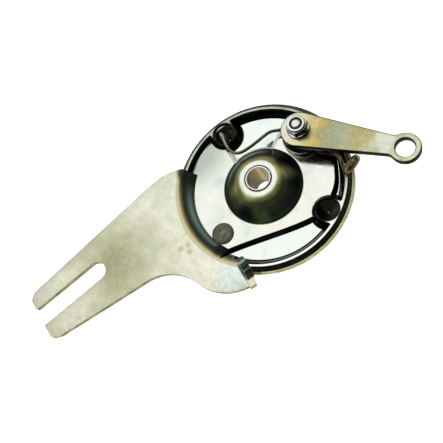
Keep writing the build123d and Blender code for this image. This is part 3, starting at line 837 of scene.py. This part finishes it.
def arm_material():
    s = Shader("satin_zinc_arm")
    across = s.remap(s.radius(), 49.0 * MM, 39.2 * MM, kind="LINEAR")
    on_lip = s.remap(across, 0.0, 0.10)
    colour = s.mix(on_lip, arm_face_colour(s), lip_colour(s, across))
    # painted shade: near-black spots at the arm's top corner and at the lip's lower end
    corner, lip_end = s.spot((-38.5, -19.5), 8.0, 4.5, 0.97), s.spot((7.2, -41.0), 6.4, 2.5, 0.97)
    colour = s.mix(s.maths("MAXIMUM", corner, lip_end), colour, (0.008, 0.009, 0.007))
    wall = s.steep(0.3, 0.75)
    edge = s.two_tone(4.0, (0.13, 0.12, 0.05), (0.36, 0.33, 0.18))
    colour = s.mix(s.maths("MULTIPLY", wall, s.remap(on_lip, 0.0, 1.0, 1.0, 0.0)), colour, edge)
    on_lug = s.remap(s.height(), 8.7 * MM, 9.3 * MM)
    colour = s.mix(on_lug, colour, lug_colour(s))
    s.bump(s.noise(0.8, 4.0, 0.65), 0.012)
    matt = s.maths("MAXIMUM", wall, on_lip, on_lug)
    return s.set(Base_Color=colour, Roughness=s.uneven(3.0, 0.28, 0.40, 4.0, 0.6),
                 Metallic=s.remap(matt, 0.0, 1.0, 1.0, 0.35))


arm.data.materials.append(arm_material())

# ---- brake lever


def build_lever():
    lean = acos((LEVER_R - NECK_R) / LEVER_LENGTH)
    out, run = Vector((cos(lean), sin(lean))), Vector((sin(lean), -cos(lean)))
    blend = 4.5
    drop = (LEVER_R + blend) - LEVER_LENGTH * cos(lean)
    reach = LEVER_LENGTH * sin(lean) - sqrt((EYE_R + blend) ** 2 - drop ** 2)
    centre = out * (LEVER_R + blend) + run * reach
    eye = Vector((LEVER_LENGTH, 0))
    to_eye = eye - centre
    start = atan2(-out.y, -out.x)
    end = atan2(to_eye.y, to_eye.x)
    if end < start:
        end += 2 * pi
    upper = [(centre.x + blend * cos(start + (end - start) * i / 10),
              centre.y + blend * sin(start + (end - start) * i / 10)) for i in range(11)]
    touch = eye - to_eye.normalized() * EYE_R
    eye_angle = atan2(touch.y, touch.x - LEVER_LENGTH) * 180 / pi
    rim = arc((LEVER_LENGTH, 0), EYE_R, eye_angle, -eye_angle, 48)
    lower = [(x, -y) for x, y in reversed(upper)]
    lean_deg = lean * 180 / pi
    big = arc((0, 0), LEVER_R, 360 - lean_deg, lean_deg, 60)
    hole = arc((LEVER_LENGTH, 0), EYE_HOLE_R, 0, 360, 48)[:-1]
    mesh = plate_from([upper + rim[1:-1] + lower + big, hole], LEVER_TOP - LEVER_LOW, 0.8, 4)
    place = Matrix.Translation(Vector((*PIVOT, (LEVER_LOW + LEVER_TOP) / 2)) * MM)
    mesh.transform(place @ Matrix.Rotation(radians(LEVER_ANGLE), 4, "Z"))
    return mesh


lever = new_object("brake_lever_body", build_lever(), "lever", 35.0)
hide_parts("brake_lever")


def lever_material():
    """Yellow zinc that changes along the lever, with painted shade making its walls and underside nearly
    black.
    """
    s = Shader("yellow_zinc_lever", Metallic=1.0)
    direction = (cos(radians(LEVER_ANGLE)), sin(radians(LEVER_ANGLE)), 0)
    start = PIVOT[1] * direction[1]
    wander = s.remap(s.noise(8.0, 3.0), 0.2, 0.8, -4.0 * MM, 4.0 * MM)
    along = s.maths("ADD", s.along(direction), wander)
    span = s.remap(along, (start - 10) * MM, (start + 66) * MM, kind="LINEAR")
    colour = s.ramp(span, [
        (0.00, (0.80, 0.80, 0.72)), (0.13, (0.80, 0.76, 0.52)), (0.235, (0.66, 0.53, 0.18)),
        (0.31, (0.43, 0.40, 0.19)), (0.39, (0.40, 0.43, 0.31)), (0.47, (0.48, 0.48, 0.30)),
        (0.56, (0.50, 0.46, 0.20)), (0.64, (0.58, 0.54, 0.27)), (0.70, (0.66, 0.68, 0.50)),
        (0.75, (0.80, 0.85, 0.74)), (0.80, (0.70, 0.72, 0.52)), (0.86, (0.56, 0.56, 0.33)),
        (1.00, (0.84, 0.88, 0.68))])
    speck = s.noise(1.0, 4.0, 0.75)
    colour = s.mix(s.remap(speck, 0.50, 0.72, 0.0, 0.35), colour, (0.28, 0.28, 0.20))
    colour = s.mix(s.remap(speck, 0.46, 0.34, 0.0, 0.30), colour, (0.86, 0.86, 0.74))
    # painted shade: the lever's walls and underside nearly black
    wall = s.two_tone(5.0, (0.004, 0.004, 0.003), (0.018, 0.018, 0.011), start=0.35)
    colour = s.mix(s.steep(0.75, 0.98, under=True), colour, wall)
    s.bump(s.noise(1.0, 4.0, 0.65), 0.010)
    return s.set(Base_Color=colour, Roughness=s.uneven(3.0, 0.22, 0.32, 4.0, 0.6))


lever.data.materials.append(lever_material())

# ---- nut, washer, camshaft


def build_nut():
    """Hexagon with chamfered corners, a rolled collar, and the bore."""
    around = 144
    shoulder = NUT_AF / 2 * 0.98
    slope = 0.55
    sections = []
    for i in range(around):
        turn = 2 * pi * i / around
        corner = (turn % (pi / 3)) - pi / 6
        flat = NUT_AF / 2 / cos(corner)
        drop = slope * (flat - shoulder)
        sections.append([
            (THREAD_R, NUT_LOW), (shoulder, NUT_LOW), (flat, NUT_LOW + drop), (flat, HEX_TOP - drop),
            (shoulder, HEX_TOP), (NUT_COLLAR_R + 0.15, HEX_TOP), (NUT_COLLAR_R, HEX_TOP + 0.15),
            (NUT_COLLAR_R, NUT_TOP - 0.25), (NUT_COLLAR_R - 0.08, NUT_TOP - 0.08),
            (NUT_COLLAR_R - 0.25, NUT_TOP), (LOCK_R + 0.12, NUT_TOP), (LOCK_R, NUT_TOP - 0.15),
            (LOCK_R, HEX_TOP), (THREAD_R, HEX_TOP)])
    return turned(sections, PIVOT, 1e-6)


def build_shaft():
    """Stud end with thread, tang, journal and cam."""
    pitch = 1.0
    crests = []
    level = LEVER_TOP + 0.2
    while level < STUD_TOP - 1.6:
        crests += [(THREAD_R - 0.25, level), (THREAD_R, level + 0.35), (THREAD_R, level + 0.55)]
        level += pitch
    profile = ([(0.0, LEVER_LOW), (TANG_R, LEVER_LOW), (TANG_R, LEVER_TOP)]
               + [(THREAD_R - 0.25, LEVER_TOP)] + crests
               + [(THREAD_R, STUD_TOP - 0.9), (THREAD_R - 0.7, STUD_TOP - 0.1),
                  (THREAD_R - 0.85, STUD_TOP), (0.6, STUD_TOP), (0.0, STUD_TOP - 0.25)])
    stud = lathe(profile, PIVOT, 64)
    ease = 0.4
    journal = lathe([(0.0, CAM_TOP), (SHAFT_R - ease, CAM_TOP), (SHAFT_R, CAM_TOP + ease),
                     (SHAFT_R, LEVER_LOW - ease), (SHAFT_R - ease, LEVER_LOW), (0.0, LEVER_LOW)],
                    PIVOT, 64)
    corners = [(-CAM_HALF_T, -CAM_HALF_L), (CAM_HALF_T, -CAM_HALF_L), (CAM_HALF_T, CAM_HALF_L),
               (-CAM_HALF_T, CAM_HALF_L)]
    cam = plate_from([rounded([(x, y, 1.4) for x, y in corners], 6)], CAM_TOP - CAM_LOW, ease)
    cam.transform(Matrix.Translation(Vector((*PIVOT, (CAM_LOW + CAM_TOP) / 2)) * MM))
    return join([stud, journal, cam])


nut = new_object("lever_nut_hex", build_nut(), "lever", 30.0)
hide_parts("lever_nut")
shaft = new_object("camshaft_turned", build_shaft(), "lever", 35.0)
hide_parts("camshaft")
washer = new_object("lever_washer_stamped",
                    stamped_ring(WASHER_IN_R, WASHER_R, LEVER_TOP, NUT_LOW, 0.2), "lever",
                    50.0)
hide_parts("lever_washer")
# painted shade: the nut's and washer's walls nearly black
bright = plated("bright_zinc_hardware", (0.84, 0.86, 0.84), (0.96, 0.96, 0.94), 3.0, (0.10, 0.18),
                wall=(0.006, 0.006, 0.009))
nut.data.materials.append(bright)
washer.data.materials.append(bright)
# painted shade: the camshaft's steep walls dark
shaft.data.materials.append(plated("turned_steel", (0.72, 0.74, 0.64), (0.90, 0.92, 0.82), 2.5,
                                   (0.16, 0.28), wall=(0.04, 0.04, 0.04)))

# ---- axle bush, anchor pin, spring seat
bush_profile = [
    (AXLE_R, BUSH_LOW + 0.3), (AXLE_R + 0.3, BUSH_LOW), (BUSH_R - 0.2, BUSH_LOW),
    (BUSH_R, BUSH_LOW + 0.2), (BUSH_R, BUSH_TOP - 0.5), (BUSH_R - 0.1, BUSH_TOP - 0.2),
    (BUSH_R - 0.3, BUSH_TOP), (AXLE_R + 0.3, BUSH_TOP), (AXLE_R, BUSH_TOP - 0.3)]
bush = new_object("axle_bush_turned", lathe(bush_profile), "plate", 30.0)
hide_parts("axle_bush")


def bush_material():
    """Bright turned steel outside with painted shade on its outer wall, and a brown bore with painted
    light along one side.
    """
    s = Shader("turned_bush")
    rings = s.noise(1.2, 2.0, 0.6, place=s.stretched((0.02, 0.02, 1.0)))
    outside = s.ramp(rings, [(0.3, (0.86, 0.86, 0.80)), (0.7, (0.96, 0.96, 0.92))])
    # painted light: bright bands across the bore along one direction
    sweep = s.remap(s.along((0.755, 0.656, 0.0)), -AXLE_R * MM, AXLE_R * MM, kind="LINEAR")
    bore = s.ramp(sweep, [
        (0.0, (0.12, 0.10, 0.03)), (0.30, (0.24, 0.19, 0.07)), (0.48, (0.52, 0.45, 0.24)),
        (0.60, (0.28, 0.23, 0.09)), (0.78, (0.56, 0.50, 0.28)), (1.0, (0.30, 0.25, 0.10))])
    bore = s.mix(0.5, bore, s.ramp(rings, [(0.3, (0.6, 0.6, 0.6)), (0.7, (1.0, 1.0, 1.0))]), "MULTIPLY")
    inside = s.remap(s.radius(), (AXLE_R + 0.2) * MM, (AXLE_R + 0.02) * MM)
    # painted shade: the bush's steep outer walls nearly black
    outside = s.mix(s.steep(0.5, 0.9), outside, (0.02, 0.02, 0.02))
    s.bump(rings, 0.01)
    return s.set(Base_Color=s.mix(inside, outside, bore), Roughness=s.uneven(2.0, 0.2, 0.34),
                 Metallic=s.remap(inside, 0.0, 1.0, 1.0, 0.3))


bush.data.materials.append(bush_material())

head_profile = [(0.0, PLATFORM_Z + 1.5)] + [
    (HEAD_R * t, PLATFORM_Z + 0.35 + 1.15 * sqrt(max(0.0, 1 - t ** 2.6)))
    for t in (0.15, 0.3, 0.45, 0.6, 0.72, 0.82, 0.9, 0.95, 0.98, 1.0)]
# down the shank: through the plate, the collar, the shoes' journal and the clip's groove
shank_profile = [
    (HEAD_R - 0.1, PLATFORM_Z), (ANCHOR_HOLE_R, PLATFORM_Z), (ANCHOR_HOLE_R, 0.8), (6.0, 0.8),
    (6.0, -5.9), (4.0, -5.9), (4.0, -10.9), (3.2, -10.9), (3.2, -11.8), (4.0, -11.8), (4.0, -12.3),
    (3.5, -12.8), (0.0, -12.8)]
pin = new_object("anchor_pin_riveted",
                 lathe(head_profile + shank_profile, ANCHOR), "plate", 40.0)
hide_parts("anchor_pin")


def pin_material():
    s = Shader("dull_rivet_steel", Metallic=0.85)
    colour = s.two_tone(2.4, (0.11, 0.12, 0.08), (0.22, 0.22, 0.16), 4.0, 0.6)
    # painted highlight: a lighter spot in the middle of the pin's head
    colour = s.mix(s.spot(ANCHOR, 1.8, 0.2, 0.4), colour, (0.36, 0.36, 0.32))
    s.bump(s.noise(0.8, 4.0, 0.65), 0.03)
    return s.set(Base_Color=colour, Roughness=s.uneven(1.5, 0.42, 0.58))


pin.data.materials.append(pin_material())

seat = new_object("spring_seat_stamped",
                  stamped_ring(SEAT_IN_R, SEAT_R, SEAT_LOW, SEAT_TOP, 0.3), "plate",
                  50.0)
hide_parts("spring_seat")
# painted shade: the spring seat's steep walls dark
seat.data.materials.append(plated("zinc_stampings", (0.30, 0.30, 0.24), (0.46, 0.46, 0.38), 4.0,
                                   wall=(0.03, 0.03, 0.02)))

# ---- lever return spring
COIL_Z, COIL_PITCH, COIL_TURNS = 6.75, 1.9, 1.5
LOOP_CENTRE, LOOP_HALF, LOOP_TURNS, LOOP_PITCH = (31.9, 35.9, 7.3), (5.3, 3.8), 1.6, 1.5


def tube(points, radius, order=3, resolution=6, sides=5):
    """A round wire along one smooth NURBS line, as a closed mesh."""
    curve = bpy.data.curves.new("made", "CURVE")
    curve.dimensions = "3D"
    curve.bevel_depth = radius * MM
    curve.bevel_resolution = sides
    curve.use_fill_caps = True
    spline = curve.splines.new("NURBS")
    spline.points.add(len(points) - 1)
    for point, (x, y, z) in zip(spline.points, points):
        point.co = (x * MM, y * MM, z * MM, 1)
    spline.use_endpoint_u = True
    spline.order_u = order
    spline.resolution_u = resolution
    return mesh_of(curve)


def lever_spring_route():
    plate_leg = [(-41.6, 9.4, -1.2), (-41.2, 9.3, 1.6), (-40.2, 9.0, 4.6), (-37.2, 8.2, 6.2),
                 (-33.0, 5.8, 6.5), (-28.6, 4.2, 6.3), (-24.6, 4.4, 6.0), (-21.8, 6.6, 6.0),
                 (-19.6, 12.0, 6.0), (-17.4, 21.5, 6.2), (-16.2, 25.8, 6.4), (-13.2, 28.4, 6.6),
                 (-10.6, 31.0, 6.7)]
    coil = []
    steps = int(20 * COIL_TURNS)
    for i in range(steps + 1):
        turn = COIL_TURNS * 360 * i / steps
        coil.append((*polar(COIL_R, 180 + turn, PIVOT), COIL_Z + COIL_PITCH * COIL_TURNS * i / steps))
    lever_leg = [(11.2, 32.4, 9.3), (15.5, 31.6, 9.2), (20.0, 33.8, 9.1), (25.0, 36.2, 9.0),
                 (29.0, 33.6, 8.9)]
    (x, y, z), (half_y, half_z) = LOOP_CENTRE, LOOP_HALF
    loop = []
    for i in range(int(14 * LOOP_TURNS)):
        turn = 0.5 + 2 * pi * i / 14
        loop.append((x + LOOP_PITCH * i / 14, y - half_y * cos(turn), z - half_z * sin(turn)))
    return plate_leg + coil[1:-1] + lever_leg + loop


spring = new_object("lever_spring_wire", tube(lever_spring_route(), WIRE_R), None, 60.0)
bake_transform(spring)
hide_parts("lever_spring")


def lever_spring_wire():
    """Oiled wire with painted light and shade: highlights pale at the plate's hook and brass-coloured at
    the loop, shade black under the lever.
    """
    s = Shader("oiled_spring_wire_painted_light", Metallic=1.0)
    # painted light and shade along the wire: pale highlight at the hook, black under the lever,
    # brass-coloured highlights at the loop
    place = s.remap(s.along((1.0, 0.0, 0.0)), -42.0 * MM, 36.0 * MM, kind="LINEAR")
    colour = s.ramp(place, [
        (0.0, (0.90, 0.88, 0.76)), (0.06, (0.80, 0.78, 0.64)), (0.16, (0.36, 0.35, 0.24)),
        (0.36, (0.16, 0.16, 0.10)), (0.44, (0.015, 0.015, 0.012)), (0.80, (0.015, 0.015, 0.012)),
        (0.90, (0.34, 0.27, 0.12)), (1.0, (0.46, 0.38, 0.20))])
    patches = s.two_tone(2.0, (0.50, 0.48, 0.40), (1.0, 1.0, 1.0), 4.0, 0.6)
    s.bump(s.noise(0.6, 3.0, 0.6), 0.004)
    return s.set(Base_Color=s.mix(1.0, colour, patches, "MULTIPLY"),
                 Roughness=s.uneven(1.8, 0.16, 0.28))


spring.data.materials.append(lever_spring_wire())
wire_steel = plated("drawn_spring_wire", (0.40, 0.38, 0.28), (0.66, 0.63, 0.50), 3.0, (0.16, 0.28))

# ---- the CAD nodes that stay: better materials in their own slots


def shoe_paint():
    s = Shader("black_shoe_paint")
    s.bsdf.inputs["Specular IOR Level"].default_value = 0.08
    s.bump(s.noise(0.7, 3.0, 0.6), 0.02)
    return s.set(Base_Color=s.two_tone(5.0, (0.004, 0.004, 0.004), (0.012, 0.012, 0.011), 4.0, 0.6),
                 Roughness=s.uneven(3.0, 0.32, 0.5))


def friction_lining():
    """Nearly black compound with small brass-coloured flecks."""
    s = Shader("moulded_friction_lining")
    base = s.two_tone(3.0, (0.008, 0.007, 0.006), (0.026, 0.022, 0.019), 4.0, 0.6)
    flecks = s.remap(s.noise(0.35, 2.0, 0.5), 0.62, 0.70)
    s.bump(s.noise(0.5, 4.0, 0.7), 0.05)
    return s.set(Base_Color=s.mix(flecks, base, (0.07, 0.055, 0.03)),
                 Roughness=s.uneven(1.0, 0.7, 0.9))


def felt():
    s = Shader("oiled_felt", Roughness=0.95)
    s.bump(s.noise(0.25, 4.0, 0.8), 0.08)
    return s.set(Base_Color=s.two_tone(0.5, (0.16, 0.14, 0.11), (0.34, 0.31, 0.26), 3.0, 0.7))


def nylon():
    s = Shader("nylon_insert", Roughness=0.45)
    s.bump(s.noise(0.5, 2.0), 0.01)
    return s.set(Base_Color=s.two_tone(1.0, (0.010, 0.010, 0.012), (0.024, 0.024, 0.028), 2.0))


black = shoe_paint()
lining = friction_lining()
zinc_parts = plated("zinc_small_parts", (0.60, 0.60, 0.54), (0.80, 0.80, 0.74), 3.0)
dark_steel = plated("phosphated_steel", (0.10, 0.10, 0.10), (0.20, 0.20, 0.19), 2.0, (0.3, 0.5))
brass = plated("rivet_brass_tube", (0.20, 0.13, 0.05), (0.34, 0.24, 0.10), 1.5, (0.22, 0.4))
weld = plated("plated_weld_bead", (0.26, 0.25, 0.22), (0.46, 0.45, 0.40), 1.5, (0.3, 0.5), 1.2, 0.12)
LOOKS = {"weld_beads": weld, "anchor_washer": zinc_parts, "anchor_clip": dark_steel,
         "cam_sleeve": zinc_parts, "cam_seal": felt(), "lock_ring": nylon(),
         "cam_end_spring": wire_steel, "anchor_end_spring": wire_steel}
for side in ("left", "right"):
    LOOKS[side + "_shoe_web"] = black
    LOOKS[side + "_shoe_table"] = black
    LOOKS[side + "_lining"] = lining
    LOOKS[side + "_lining_rivets"] = brass
for node_name, look in LOOKS.items():
    node_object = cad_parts[node_name]
    for slot in node_object.material_slots:
        slot.material = look
